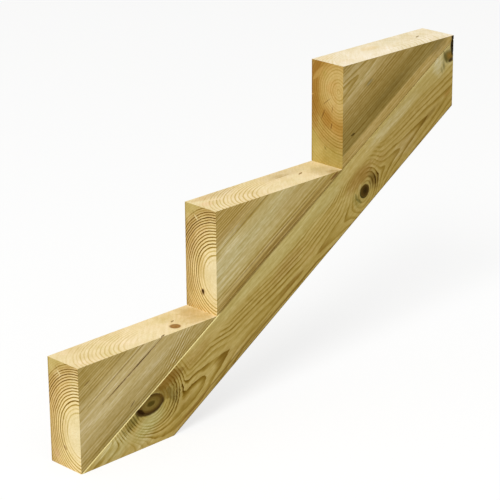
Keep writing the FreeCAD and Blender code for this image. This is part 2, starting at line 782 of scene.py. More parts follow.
def carrier_arris_highlight_and_shade(finish, colour):
    """Carrier arrises: lower one painted shade; upper one a painted highlight under the lower block, then
    dark.
    """
    upper = finish.across.smooth(*UPPER_EDGE)
    pale = finish.along.smooth(*ARRIS_HIGHLIGHT_ENDS)
    dark = JOINT_LINE_AND_SHADE_STRENGTH - finish.along.smooth(*JOINT_LINE_AND_SHADE_FADES) * JOINT_LINE_AND_SHADE_LOSS
    lower = finish.across.smooth(*SHADED_LOWER_ARRIS)
    # Painted highlight along the upper arris under the lower block
    colour = finish.blend(upper * pale * ARRIS_HIGHLIGHT_STRENGTH, colour, ARRIS_HIGHLIGHT)
    # Dark joint line with painted shade along the upper arris beyond the lower block
    colour = finish.blend(upper * (1.0 - pale) * dark, colour, JOINT_LINE_AND_ARRIS_SHADE)
    # Painted shade along the lower arris
    return finish.blend(lower * SHADED_LOWER_ARRIS_STRENGTH, colour, JOINT_LINE_AND_ARRIS_SHADE)


# Growth lines of the carrier: where they begin and end, and how they change about the knots
LINES_BELOW = (-22 * MM, -36 * MM)
LINES_AT_FOOT = (262 * MM, 232 * MM)
TOE_ALONG = (140 * MM, 100 * MM)
TOE_ACROSS = (-16 * MM, -30 * MM)
TOE_LOSS = 0.75
HEAD_ALONG = (745 * MM, 800 * MM)
HEAD_LOSS = 0.3
STRONGER_SPOTS = ((RIPPLED, 2.5), (COMBED, 1.3), (BUCKLED, 1.8))
FADED_LOSS = 0.6


def carrier_figure(finish):
    """Strength of the carrier's growth lines: none along its upper edge, apart from the foot about the knot.

    They are fainter under the toe and towards the head, and bell curves make them stronger or fainter where
    the grain turns about a knot.
    """
    foot = finish.along.smooth(*LINES_AT_FOOT)
    shown = finish.across.smooth(*LINES_BELOW).math("MAXIMUM", foot)
    toe = finish.along.smooth(*TOE_ALONG) * finish.across.smooth(*TOE_ACROSS)
    head = finish.along.smooth(*HEAD_ALONG) * HEAD_LOSS
    stronger = [finish.reach(*spot).bell() * more for spot, more in STRONGER_SPOTS]
    fainter = [finish.reach(*spot).bell() * FADED_LOSS for spot in FADED]
    return shown * (1.0 - toe * TOE_LOSS) * (sum(stronger) + 1.0 - head) * (1.0 - sum(fainter))


# Textures of the planed sides: waves in a metre along, aside and across, and how much each one does
SIDE_DRIFT_WAVES = (13, 60, 100)
SIDE_DRIFT = 1.3 * MM
SIDE_CLOUD_WAVES = (9, 30, 50)
SIDE_CLOUD_LIGHT = 0.25
LINE_CLOUD = 4 * MM
BAND_CLOUD = 5 * MM
SIDE_LATE_FULL = 0.92
SIDE_WANDER = 0.6
FAINT_WAVES = (5, 40, 70)
FAINT_RANGE = (-0.45, 0.25)
FAINT_LEAST = 0.3
UNDERSIDE = (-60 * MM, -100 * MM)
UNDERSIDE_DEPTH = 0.17
STREAK_WAVES = (7, 200, 210)
BLOCK_STREAK = 0.5
CARRIER_STREAK = 0.2
RING_STREAK_ALONG = 6.0
RING_STREAK_WAVES = 230.0
RING_STREAK = 0.25
FIBRE_WAVES = (25, 700, 700)
FIBRE_LIGHT = 0.3
FLECK_WAVES = (90, 260, 260)
FLECK_LIGHT = 0.25
SIDE_RELIEF = 0.12 * MM
SIDE_ROUGHNESS = 0.62
FIBRE_ROUGHNESS = 0.08


def side_streaks(finish, board, radius):
    """Fine streaks along the grain, which on the carrier follow its rings as well."""
    if board.carrier:
        by_ring = finish.lines(RING_STREAK_ALONG, radius, RING_STREAK_WAVES, detail=3) * RING_STREAK
        return by_ring + finish.noise(STREAK_WAVES, detail=3) * CARRIER_STREAK
    return finish.noise(STREAK_WAVES, detail=3, roughness=0.6) * BLOCK_STREAK


def planed_side(name, board):
    """Planed and treated face of a timber: bands, patches, growth lines, fibres, knots and strokes."""
    finish = Finish(name)
    drift = finish.noise(SIDE_DRIFT_WAVES, detail=4, roughness=0.6)
    radius = board.rings(finish) + drift * SIDE_DRIFT
    cloud = finish.noise(SIDE_CLOUD_WAVES, detail=3)
    late = growth(finish, board, radius, board.begin, SIDE_LATE_FULL, SIDE_WANDER)
    faint = finish.noise(FAINT_WAVES).smooth(*FAINT_RANGE) * (1.0 - FAINT_LEAST) + FAINT_LEAST
    figure = late * faint * finish.ramp(radius + cloud * LINE_CLOUD, board.side_late) * board.depth
    if board.carrier:
        figure = figure * carrier_figure(finish) + finish.across.smooth(*UNDERSIDE) * UNDERSIDE_DEPTH
    fibre = finish.noise(FIBRE_WAVES, detail=3, roughness=0.7)
    fleck = finish.noise(FLECK_WAVES)
    light = side_streaks(finish, board, radius) - figure
    light = light + fleck * FLECK_LIGHT + fibre * FIBRE_LIGHT + cloud * SIDE_CLOUD_LIGHT
    for curl in board.curls:
        light = light - curl_waves(finish, curl)
    colour = finish.ramp(radius + cloud * BAND_CLOUD, board.side)
    colour = finish.shade(add_patches(finish, colour, board.patches), light)
    for knot in board.knots:
        colour = add_knot(finish, colour, knot)
    colour = add_strokes(finish, colour, board.strokes)
    if board.carrier:
        colour = carrier_arris_highlight_and_shade(finish, colour)
    height = (fibre + light) / 2
    return finish.dress(colour, height, SIDE_RELIEF, SIDE_ROUGHNESS + fibre * FIBRE_ROUGHNESS)


# Textures of the sawn cuts: waves in a metre along, aside and across, and how much each one does
CUT_DRIFT_WAVES = (60, 60, 60)
CUT_DRIFT = 1.2 * MM
CUT_CLOUD_WAVES = (30, 40, 40)
CUT_CLOUD_LIGHT = 0.18
CUT_LINE_CLOUD = 8 * MM
CUT_LATE = (0.5, 0.77)
CUT_WANDER = 0.2
SPECK_WAVES = (450, 450, 450)
SPECK_LIGHT = 0.18
LATE_SPECK = 0.8
LATE_MEAN = 0.95
SAW_WAVES = (40, 300, 300)
SAW_LIGHT = 0.14
FADE_CLOUD = 12 * MM
FADE_LEAST = 0.2
# Darkening towards the far edge of a cut: its width, and its mean added to the cloud
FAR_EDGE_WIDTH = 4 * MM
FAR_EDGE_MEAN = 0.5
TINT_WAVES = (20, 32, 32)
TINT_SEED = 7.0
TINT_RANGES = ((0.0, 0.5), (0.0, -0.5))
TINT_STRENGTH = 0.45
SPECK_HEIGHT = 0.5
SAW_HEIGHT = 0.4
LATE_HEIGHT = 0.4
CUT_RELIEF = 0.15 * MM
CUT_ROUGHNESS = 0.75
SPECK_ROUGHNESS = 0.05


def sawn_cut(name, board, cut):
    """Fresh-sawn cut: growth rings on pale wood, with the saw's faint lines and the marks on it."""
    finish = Finish(name)
    drift = finish.noise(CUT_DRIFT_WAVES, detail=4, roughness=0.6)
    radius = board.rings(finish) + drift * CUT_DRIFT
    cloud = finish.noise(CUT_CLOUD_WAVES, detail=3)
    speck = finish.noise(SPECK_WAVES, detail=3, roughness=0.7)
    saw = finish.saw_lines(cut.saw_turn, SAW_WAVES)
    late = growth(finish, board, radius, *CUT_LATE, CUT_WANDER) * (speck * LATE_SPECK + LATE_MEAN)
    figure = late * finish.ramp(radius + cloud * CUT_LINE_CLOUD, cut.late) * cut.depth
    if cut.fade:
        shown = (finish.across + cloud * FADE_CLOUD).smooth(*metres(cut.fade))
        figure = figure * (shown * (1.0 - FADE_LEAST) + FADE_LEAST)
    # Darker towards the far edge, by far_edge
    far_side = finish.aside.smooth(HALF_THICK - FAR_EDGE_WIDTH, HALF_THICK)
    far_edge_darkening = far_side * (cloud + FAR_EDGE_MEAN) * cut.far_edge
    light = speck * SPECK_LIGHT + saw * SAW_LIGHT + cloud * CUT_CLOUD_LIGHT - figure - far_edge_darkening
    colour = finish.ramp(radius + cloud * BAND_CLOUD, cut.stops)
    tint = finish.noise(TINT_WAVES, detail=3, seed=TINT_SEED)
    for reach, tint_colour in zip(TINT_RANGES, cut.tints):
        colour = finish.blend(tint.smooth(*reach) * TINT_STRENGTH, colour, tint_colour)
    colour = finish.shade(add_patches(finish, colour, cut.patches), light)
    for knot in cut.knots:
        colour = add_knot(finish, colour, knot)
    colour = add_strokes(finish, colour, cut.strokes)
    height = speck * SPECK_HEIGHT + saw * SAW_HEIGHT - figure * LATE_HEIGHT
    return finish.dress(colour, height, CUT_RELIEF, CUT_ROUGHNESS + speck * SPECK_ROUGHNESS)


# Finishes

# Near-black painted along the drying check, wider than its groove: painted shade of the gap
CHECK_GAP_SHADE = tone(70, 42, 2)
CHECK_BROWN = tone(112, 72, 26)
RISER_SAW = (math.radians(35), 0, 0)
TREAD_SAW = (0, 0, math.radians(45))

LOWER_PATCHES = (
    Patch(on_side(120, 48), (75, 8, 4), tone(222, 203, 146), 0.5),
    Patch(on_side(95, 56), (50, 8, 2), tone(224, 204, 148), 0.5),
    Patch(on_side(190, 41), (60, 8, 2), tone(212, 191, 130), 0.45),
    Patch(on_side(118, 6), (80, 8, 9), tone(168, 148, 90), 0.55),
    Patch(on_side(150, 28), (140, 8, 15), tone(186, 164, 104), 0.45),
    Patch(on_side(138, 78), (72, 8, 16), tone(222, 200, 142), 0.5),
    Patch(on_side(125, 102), (30, 8, 10), tone(218, 192, 126), 0.4),
)
LOWER_STROKES = (
    Stroke(on_side(70, 82), on_side(250, 81), 1.2, tone(140, 110, 53), 0.6),
    Stroke(on_side(80, 99), on_side(200, 98), 1.0, tone(146, 117, 58), 0.45),
    Stroke(on_side(60, 88), on_side(170, 88), 0.9, tone(220, 200, 142), 0.4),
    Stroke(on_side(128, 14), on_side(141, 17), 1.2, tone(98, 74, 31), 0.7),
    Stroke(on_side(84, 117), on_side(97, 116), 1.5, tone(124, 94, 41), 0.6),
    Stroke(on_side(100, 62.8), on_side(245, 60.2), 2.0, tone(150, 110, 46), 0.45),
    # Painted shade along the drying check
    Stroke(on_side(92, 63.0), on_side(243, 60.2), 0.9, CHECK_GAP_SHADE, 0.7),
    Stroke(on_side(160, 61.8), on_side(243, 60.2), 1.0, CHECK_GAP_SHADE, 0.5),
)
MIDDLE_PATCHES = (
    Patch(on_side(430, 62), (90, 8, 12), tone(214, 200, 146), 0.4),
    Patch(on_side(425, 86), (36, 8, 15), tone(240, 226, 178), 0.55),
    Patch(on_side(440, 106), (60, 8, 5), tone(160, 126, 64), 0.3),
    Patch(on_side(586, 40), (72, 8, 22), tone(198, 172, 106), 0.65),
)
MIDDLE_STROKES = (
    Stroke(on_side(410, 91), on_side(545, 90), 1.0, tone(136, 104, 47), 0.5),
    Stroke(on_side(400, 97), on_side(500, 96), 1.0, tone(140, 108, 51), 0.4),
    Stroke(on_side(370, 17), on_side(640, 16), 1.2, tone(130, 96, 39), 0.6),
    Stroke(on_side(350, 9), on_side(650, 8.5), 1.4, tone(122, 88, 33), 0.65),
    Stroke(on_side(345, 3.5), on_side(600, 3), 1.3, tone(120, 86, 33), 0.65),
    Stroke(on_side(648, 5), on_side(668, 4), 2.2, tone(116, 70, 29), 0.75),
)
HEAD_SLIVER = Stroke(on_side(1012, 18), on_side(986, -20), 5.2, tone(24, 10, 0), 0.97)
UPPER_PATCHES = (
    Patch(on_side(840, 8.5), (420, 200, 10.8), tone(201, 172, 104), 0.92, soft=0.1),
    Patch(on_side(802, 83), (9, 8, 3.4), tone(150, 136, 92), 0.7),
    Patch(on_side(795, 100), (40, 8, 5), tone(218, 200, 148), 0.6),
    Patch(on_side(784, 130), (32, 8, 12), tone(186, 162, 100), 0.55),
    Patch(on_side(832, 36), (62, 8, 9), tone(140, 118, 60), 0.55),
    Patch(on_side(966, 18), (26, 8, 13), tone(150, 130, 80), 0.5),
)
UPPER_STROKES = (
    Stroke(on_side(722, 35), on_side(732, 33), 1.6, tone(64, 46, 10), 0.85),
    HEAD_SLIVER,
)
CARRIER_PATCHES = (
    Patch(on_side(74, -20), (36, 12, 20), tone(214, 199, 136), 0.75),
    Patch(on_side(62, -7), (30, 12, 9), tone(234, 220, 160), 0.65),
    Patch(on_side(124, -53), (24, 10, 10), tone(222, 206, 146), 0.55),
    Patch(on_side(142, -40), (38, 12, 15), tone(213, 203, 138), 0.75),
    Patch(on_side(215, -93), (50, 8, 6), tone(190, 150, 84), 0.4),
    Patch(on_side(116, -11), (20, 8, 10), tone(130, 117, 52), 0.6),
    Patch(on_side(207, -7), (28, 10, 13), tone(166, 128, 58), 0.8),
    Patch(on_side(184, -38), (8, 10, 14), tone(196, 166, 82), 0.5, turn=30),
    Patch(on_side(218, -67), (22, 10, 10), tone(176, 146, 72), 0.5),
    Patch(on_side(155, -75), (26, 10, 15), tone(216, 189, 114), 0.5),
    Patch(on_side(205, -36), (16, 10, 19), tone(140, 116, 50), 0.55),
    Patch(on_side(272, -20), (38, 10, 12), tone(182, 150, 77), 0.6),
    Patch(on_side(312, -70), (22, 8, 8), tone(166, 133, 64), 0.5),
    Patch(on_side(338, -83), (34, 10, 8), tone(220, 196, 134), 0.45),
    Patch(on_side(500, -45), (46, 10, 14), tone(184, 152, 82), 0.6),
    Patch(on_side(545, -67), (26, 10, 9), tone(212, 184, 116), 0.55),
    Patch(on_side(626, -23), (46, 10, 10), tone(222, 207, 145), 0.5),
    Patch(on_side(488, -80), (38, 8, 5), tone(168, 134, 64), 0.6),
    Patch(on_side(575, -83), (18, 8, 5), tone(172, 138, 68), 0.5),
    Patch(on_side(701, -42), (42, 10, 17), tone(170, 133, 63), 0.8),
    Patch(on_side(714, -46), (18, 10, 12), tone(160, 122, 54), 0.55),
    Patch(on_side(676, -74), (9, 8, 16), tone(166, 152, 84), 0.5),
    Patch(on_side(726, -69), (12, 8, 19), tone(128, 100, 38), 0.9, soft=0.85),
    Patch(on_side(850, -50), (130, 30, 60), tone(186, 158, 88), 0.5),
    Patch(on_side(755, -52), (24, 10, 10), tone(184, 152, 80), 0.5),
    Patch(on_side(815, -15), (70, 10, 12), tone(218, 200, 146), 0.4),
    Patch(on_side(815, -75), (34, 10, 16), tone(206, 182, 126), 0.5),
    Patch(on_side(886, -72), (32, 8, 4.5), tone(152, 121, 52), 0.65),
    Patch(on_side(942, -71), (10, 8, 4), tone(188, 142, 70), 0.5),
    Patch(on_side(949, -12), (15, 10, 20), tone(218, 205, 155), 0.7, turn=20, soft=0.9),
    Patch(on_side(959, -22), (3.4, 10, 10), tone(104, 96, 46), 0.6, turn=15, soft=0.9),
    Patch(on_side(951, -26), (2.4, 10, 8), tone(126, 116, 62), 0.5, turn=15, soft=0.9),
)
CARRIER_STROKES = (
    Stroke(on_side(94, -1), on_side(97, -20), 1.4, tone(112, 102, 44), 0.5),
    Stroke(on_side(116, -1), on_side(119, -20), 1.5, tone(92, 82, 32), 0.6),
    Stroke(on_side(123, -1), on_side(124, -22), 1.4, tone(92, 80, 30), 0.6),
    Stroke(on_side(130, -1), on_side(129, -18), 1.2, tone(84, 70, 26), 0.55),
    Stroke(on_side(135, -3), on_side(142, -18), 3.4, tone(44, 24, 2), 0.9),
    Stroke(on_side(178, -3), on_side(238, -17), 11.0, tone(134, 97, 28), 0.52),
    Stroke(on_side(188, -6), on_side(194, -36), 8.5, tone(124, 90, 18), 0.52),
    Stroke(on_side(196, -91), on_side(430, -88), 1.3, tone(122, 90, 36), 0.6),
    Stroke(on_side(250, -95.5), on_side(560, -93), 1.2, tone(122, 90, 36), 0.6),
    Stroke(on_side(199, -20), on_side(201, -58), 5.5, tone(112, 92, 38), 0.3),
    Stroke(on_side(679, -60), on_side(676.5, -74), 2.6, tone(112, 106, 50), 0.45),
    Stroke(on_side(676.5, -70), on_side(683, -85), 2.6, tone(104, 98, 44), 0.5),
    Stroke(on_side(697, -54), on_side(688, -61), 3.0, tone(206, 184, 124), 0.45),
    Stroke(on_side(718, -55), on_side(731, -70), 3.0, tone(98, 74, 24), 0.35),
    Stroke(on_side(971, 0), on_side(968, -24), 3.0, tone(104, 92, 40), 0.6),
    Stroke(on_side(973, -25), on_side(984, -28), 3.4, tone(62, 40, 6), 0.85),
    HEAD_SLIVER,
)

# Growth and planed side of each timber, by radius in millimetres
STEP_RINGS = block_rings(-38, 55)
UPPER_RINGS = block_rings(-25.3, 111.7, lean=0.08, start=740, bend=1.8)
SIDE_LATE = greys((0, 0.05), (25, 0.1), (32, 0.8), (60, 0.9), (100, 0.7), (130, 0.6))
LOWER = Board(
    rings=STEP_RINGS, turns=narrowing_turns, side_late=SIDE_LATE, depth=0.65,
    patches=LOWER_PATCHES, strokes=LOWER_STROKES,
    curls=(Curl(on_side(246, 15), (46, 400, 15), 5.0, -21, 0.45),),
    side=colours(
        (0, 213, 191, 134), (27, 209, 186, 126), (43, 196, 172, 109), (60, 195, 170, 104),
        (130, 193, 168, 100)),
)
MIDDLE = Board(
    rings=STEP_RINGS, turns=narrowing_turns, side_late=SIDE_LATE, depth=0.95,
    patches=MIDDLE_PATCHES, strokes=MIDDLE_STROKES,
    side=colours(
        (0, 213, 195, 137), (27, 211, 190, 127), (43, 206, 180, 114), (60, 204, 176, 108),
        (130, 196, 166, 97)),
)
UPPER = Board(
    rings=UPPER_RINGS, turns=even_turns(4.6), depth=0.7, patches=UPPER_PATCHES, strokes=UPPER_STROKES,
    side_late=greys((0, 0.8), (40, 0.9), (92, 0.6), (130, 0.5)),
    side=colours(
        (0, 208, 184, 122), (22, 200, 175, 114), (46, 179, 152, 87), (66, 164, 139, 75), (91, 161, 137, 73),
        (130, 164, 139, 75)),
)
CARRIER = Board(
    rings=carrier_rings, turns=even_turns(5.3, 2.1), depth=1.2, carrier=True, begin=0.4, least=0.4,
    patches=CARRIER_PATCHES, strokes=CARRIER_STROKES, knots=CARRIER_KNOTS,
    side_late=greys((-40, 0.6), (-10, 0.75), (8, 0.95), (50, 1.0), (62, 0.7), (130, 0.5)),
    side=colours(
        (-40, 193, 175, 106), (10, 200, 175, 101), (52, 202, 176, 102), (66, 204, 183, 111),
        (130, 204, 183, 111)),
)

# Wood and lines of the sawn cuts, by radius in millimetres
PALE_RISER = colours(
    (0, 253, 234, 183), (28, 254, 234, 181), (37, 255, 232, 174), (52, 255, 228, 164), (67, 245, 214, 150),
    (81, 230, 197, 131), (94, 209, 176, 109), (104, 212, 188, 116), (130, 212, 189, 117))
DULLED = 0.92
DULL_RISER = [(place, darker(colour, DULLED)) for place, colour in PALE_RISER]
RISER_LATE = greys(
    (0, 0.01), (27, 0.03), (35, 0.35), (46, 0.9), (85, 1.0), (97, 0.5), (104, 0.08), (130, 0.05))
PALE_TREAD = colours(
    (0, 248, 228, 180), (30, 248, 227, 179), (60, 247, 224, 173), (90, 244, 222, 171), (130, 244, 224, 173))
TREAD_LATE = greys((0, 0.02), (28, 0.05), (42, 0.7), (60, 1.0), (85, 0.9), (100, 0.25), (130, 0.1))
DEEP_RISER = colours(
    (0, 211, 181, 112), (28, 209, 178, 109), (40, 198, 162, 90), (50, 182, 140, 66), (58, 184, 144, 70),
    (66, 194, 159, 88), (88, 194, 160, 89), (92, 195, 169, 96), (130, 197, 172, 98))
DEEP_LATE = greys((0, 0.55), (45, 0.5), (60, 0.9), (86, 0.9), (95, 0.35), (130, 0.3))
PALE_HEAD = colours((0, 254, 239, 206), (60, 252, 237, 203), (130, 251, 236, 202))


def nose_marks(step):
    """A pale chip and a dark line beside it, under the nose of a step."""
    return (
        Stroke(on_riser(step, 14, 159), on_riser(step, 6, 151), 1.7, tone(246, 226, 166), 0.65),
        Stroke(on_riser(step, 18, 165), on_riser(step, 13, 160), 1.2, tone(150, 128, 62), 0.5),
    )


LOWER_RISER_PATCHES = (
    Patch(on_riser(0, 22, 18), (9, 8, 9), tone(228, 186, 136), 0.55),
    Patch(on_riser(0, 14, 42), (30, 12, 22), tone(222, 190, 126), 0.35),
    Patch(on_riser(0, 24, 108), (60, 14, 34), tone(202, 160, 92), 0.35),
    Patch(on_riser(0, 2, 68), (60, 12, 24), tone(226, 196, 130), 0.4),
    Patch(on_riser(0, 27, 46), (60, 11, 30), tone(206, 172, 101), 0.45),
    Patch(on_riser(0, -26, 136), (60, 12, 26), tone(255, 240, 184), 0.4),
)
LOWER_RISER_STROKES = (
    *nose_marks(0),
    Stroke(on_riser(0, 4, 37), on_riser(0, -2, 30), 2.2, tone(150, 104, 52), 0.6),
)
MIDDLE_RISER_PATCHES = (
    Patch(on_riser(1, 16, 40), (30, 11, 20), tone(216, 182, 116), 0.3),
    Patch(on_riser(1, 24, 112), (60, 15, 38), tone(184, 144, 76), 0.4),
    Patch(on_riser(1, 2, 68), (60, 12, 24), tone(220, 190, 122), 0.4),
    Patch(on_riser(1, 27, 46), (60, 11, 30), tone(200, 167, 98), 0.45),
    Patch(on_riser(1, 2, 92), (60, 12, 26), tone(214, 182, 106), 0.3),
    Patch(on_riser(1, -26, 136), (60, 12, 26), tone(250, 232, 172), 0.35),
    # The pit is painted brown to near black: its own colour, with painted shade in its hollow
    Patch(on_riser(1, -3.2, 33), (8, 4.6, 5.4), tone(150, 106, 36), 0.8, soft=0.6),
    Patch(on_riser(1, -3.2, 33), (6, 3.0, 3.6), tone(66, 36, 0), 0.97, soft=0.4),
)
MIDDLE_RISER_STROKES = (
    *nose_marks(1),
    # Dark upper tail of the pit: its colour, with painted shade
    Stroke(on_riser(1, -3.6, 38), on_riser(1, -3.2, 33), 1.3, tone(80, 48, 4), 0.8),
)
UPPER_RISER_PATCHES = (
    Patch(on_riser(2, 28, 112), (60, 11, 52), tone(168, 120, 48), 0.75),
    Patch(on_riser(2, 2, 80), (60, 13, 14), tone(172, 120, 46), 0.5),
    Patch(on_riser(2, 26, 20), (60, 16, 30), tone(199, 176, 100), 0.9),
    Patch(on_riser(2, -14, 16), (60, 26, 26), tone(186, 163, 88), 0.9),
    Patch(on_riser(2, -10, 40), (60, 30, 10), tone(182, 152, 82), 0.6),
)
UPPER_RISER_STROKES = (
    Stroke(on_riser(2, 38, 150), on_riser(2, 14, 180), 8.0, tone(158, 110, 42), 0.7),
    Stroke(on_riser(2, 31, 142), on_riser(2, 10, 166), 4.0, tone(202, 162, 90), 0.6),
    Stroke(on_riser(2, 9, 103), on_riser(2, -7, 116), 0.8, CHECK_BROWN, 0.55),
    Stroke(on_riser(2, -13, 106), on_riser(2, -10, 91), 0.8, CHECK_BROWN, 0.55),
    Stroke(on_riser(2, 5, 95), on_riser(2, 13, 78), 1.0, CHECK_BROWN, 0.65),
    Stroke(on_riser(2, -11, 75), on_riser(2, -8, 63), 1.1, CHECK_BROWN, 0.75),
    Stroke(on_riser(2, 31, 117), on_riser(2, 35, 115), 1.2, tone(212, 170, 100), 0.7),
    Stroke(on_riser(2, 6, 32), on_riser(2, 2, 26), 1.4, tone(128, 108, 44), 0.6),
)
LOWER_TREAD_PATCHES = (
    Patch(on_tread(0, 52, 22), (34, 14, 34), tone(230, 205, 146), 0.5),
    Patch(on_tread(0, 232, 4), (26, 32, 26), tone(222, 193, 130), 0.5),
    Patch(on_tread(0, 272, 8), (24, 26, 24), tone(208, 176, 112), 0.7),
    Patch(on_tread(0, 266, -20), (32, 18, 32), tone(214, 184, 122), 0.75),
)
LOWER_TREAD_STROKES = (
    Stroke(on_tread(0, 222, -1), on_tread(0, 230, 2), 1.8, tone(136, 104, 46), 0.8),
    Stroke(on_tread(0, 170, -35), on_tread(0, 181, -30), 1.6, tone(100, 70, 22), 0.85),
)
MIDDLE_TREAD_PATCHES = (
    Patch(on_tread(1, 60, 26), (40, 14, 40), tone(218, 194, 144), 0.5),
    Patch(on_tread(1, 205, 20), (55, 16, 55), tone(222, 200, 150), 0.6),
    Patch(on_tread(1, 268, -14), (26, 24, 26), tone(212, 190, 134), 0.7),
    Patch(on_tread(1, 195, 16), (20, 6, 20), tone(208, 182, 126), 0.65),
    Patch(on_tread(1, 30, 26), (26, 8, 26), tone(222, 186, 128), 0.5),
    Patch(on_tread(1, 16, 2), (12, 10, 12), tone(244, 206, 158), 0.5),
    Patch(on_tread(1, 273, -30), (14, 8, 14), tone(190, 160, 102), 0.6),
)
MIDDLE_TREAD_STROKES = (
    Stroke(on_tread(1, 24, 15), on_tread(1, 52, 3), 2.2, tone(252, 228, 182), 0.8),
    Stroke(on_tread(1, 176, 11), on_tread(1, 214, 12), 1.4, tone(188, 158, 98), 0.6),
    Stroke(on_tread(1, 222, -1), on_tread(1, 234, 4), 1.9, tone(146, 108, 50), 0.8),
)
UPPER_TREAD_PATCHES = (
    Patch(on_tread(2, 115, 12), (22, 10, 22), tone(251, 226, 178), 0.6),
    Patch(on_tread(2, 20, 22), (20, 12, 20), tone(249, 224, 176), 0.5),
)
UPPER_TREAD_STROKES = (
    Stroke(on_tread(2, 221, 1), on_tread(2, 233, 6), 1.9, tone(156, 130, 82), 0.8),
)

RISER_TINTS = (tone(251, 224, 166), tone(240, 218, 150))
DEEP_TINTS = (tone(196, 146, 70), tone(190, 166, 86))
TREAD_TINTS = (tone(251, 222, 178), tone(238, 222, 160))
CREAM_TINTS = (tone(251, 228, 188), tone(242, 228, 176))
HEAD_TINTS = (tone(252, 230, 192), tone(244, 232, 200))
RISER_FADE = (-60, 150)
TREAD_FADE = (55, 95)
# How much the risers darken towards their far edge
RISER_FAR_EDGE_DARKENING = 0.7
LOWER_RISER = Cut(
    PALE_RISER, RISER_LATE, 2.6, RISER_SAW, RISER_TINTS, LOWER_RISER_PATCHES, LOWER_RISER_STROKES,
    far_edge=RISER_FAR_EDGE_DARKENING, fade=RISER_FADE)
MIDDLE_RISER = Cut(
    DULL_RISER, RISER_LATE, 2.95, RISER_SAW, RISER_TINTS, MIDDLE_RISER_PATCHES, MIDDLE_RISER_STROKES,
    far_edge=RISER_FAR_EDGE_DARKENING, fade=RISER_FADE)
UPPER_RISER = Cut(
    DEEP_RISER, DEEP_LATE, 0.65, RISER_SAW, DEEP_TINTS, UPPER_RISER_PATCHES, UPPER_RISER_STROKES,
    far_edge=RISER_FAR_EDGE_DARKENING)
LOWER_TREAD = Cut(
    PALE_TREAD, TREAD_LATE, 0.38, TREAD_SAW, TREAD_TINTS, LOWER_TREAD_PATCHES, LOWER_TREAD_STROKES,
    knots=(TREAD_KNOT,), fade=TREAD_FADE)
MIDDLE_TREAD = Cut(
    PALE_TREAD, TREAD_LATE, 0.57, TREAD_SAW, CREAM_TINTS, MIDDLE_TREAD_PATCHES, MIDDLE_TREAD_STROKES,
    fade=TREAD_FADE)
UPPER_TREAD = Cut(
    PALE_HEAD, TREAD_LATE, 0.25, TREAD_SAW, HEAD_TINTS, UPPER_TREAD_PATCHES, UPPER_TREAD_STROKES)
CARRIER_CUT = Cut(PALE_TREAD, TREAD_LATE, 0.9, TREAD_SAW, TREAD_TINTS)

GLUE_TONE = tone(196, 168, 104)
GLUE_WAVES = (60, 60, 60)
GLUE_CLOUD = 0.3
GLUE_RELIEF = 0.05 * MM
GLUE_ROUGHNESS = 0.45
GLUE_CLOUD_ROUGHNESS = 0.1


def glue_finish(name):
    """Cured wood glue: amber, cloudy and a little smoother than the wood."""
    finish = Finish(name)
    cloud = finish.noise(GLUE_WAVES, detail=3)
    colour = finish.shade(GLUE_TONE, cloud * GLUE_CLOUD)
    return finish.dress(colour, cloud, GLUE_RELIEF, GLUE_ROUGHNESS + cloud * GLUE_CLOUD_ROUGHNESS)


# Pieces

CRACK_FROM = 95 * MM
CRACK_TO = 241 * MM
CRACK_ACROSS = (63.0 * MM, 60.2 * MM)
CRACK_DEPTH = 1.6 * MM
CRACK_HALF_WIDTH = 0.45 * MM
CRACK_WANDER = 0.3 * MM
CRACK_WAVE = 9 * MM
PIT_PLACE = on_riser(1, -3.2, 33)
PIT_SIZE = (2.3 * MM, 3.0 * MM)
PIT_DEPTH = 3.0 * MM
PIT_NARROWING = 1.2
PIT_TAPER = 0.4
HOLLOW_DEPTH = 2.5 * MM
HOLLOW_FROM_CUT = (5.0 * MM, 3.5 * MM)
HOLLOW_ACROSS = (-8 * MM, 8 * MM)
GROOVE_DEPTH = 0.6 * MM
GROOVE_WIDTH = 0.12

# Rows and columns close enough together to carry the check and the pit: first, last and spacing
CRACK_ROWS = (59.0 * MM, 64.5 * MM, 0.3 * MM)
PIT_ROWS = (22 * MM, 34 * MM, 0.6 * MM)
PIT_COLUMNS = (-9 * MM, 3 * MM, 0.6 * MM)


def drying_check(along, across):
    """Depth of the drying check in the lower block: a bell-shaped groove that deepens up the grain.

    Its middle is a straight line plus a small sine, and its depth grows as the root of the share along it.
    """
    share = np.clip((along - CRACK_FROM) / (CRACK_TO - CRACK_FROM), 0, 1)
    straight = CRACK_ACROSS[0] + (CRACK_ACROSS[1] - CRACK_ACROSS[0]) * share
    middle = straight + CRACK_WANDER * np.sin(along / CRACK_WAVE)
    return CRACK_DEPTH * np.sqrt(share) * np.exp(-((across - middle) / CRACK_HALF_WIDTH) ** 2)


def knot_reach(knot, along, across):
    """Distance from a knot in units of its ellipse."""
    ahead = (along - knot.place[0]) / MM
    up = (across - knot.place[2]) / MM
    cos, sin = math.cos(math.radians(knot.turn)), math.sin(math.radians(knot.turn))
    return np.hypot((ahead * cos - up * sin) / knot.size[0], (ahead * sin + up * cos) / knot.size[2])


def dead_knot_hollow(along, across):
    """Depth of the hollow beside the dead knot at the head: a bell curve a little in from the plumb cut."""
    from_cut = (plumb_cut(RUN, across) - along - HOLLOW_FROM_CUT[0]) / HOLLOW_FROM_CUT[1]
    up = (across - HOLLOW_ACROSS[0]) / HOLLOW_ACROSS[1]
    return HOLLOW_DEPTH * np.exp(-from_cut ** 2 - up ** 2)


def carrier_relief(along, across):
    """Depth taken off the carrier's near face: a groove round each knot, and the hollow at the head.

    A groove is a bell curve of the distance from the edge of the knot's ellipse.
    """
    edges = [(knot_reach(knot, along, across) - 1) / GROOVE_WIDTH for knot in CARRIER_KNOTS]
    grooves = sum(GROOVE_DEPTH * np.exp(-edge ** 2) for edge in edges)
    return grooves + dead_knot_hollow(along, across)


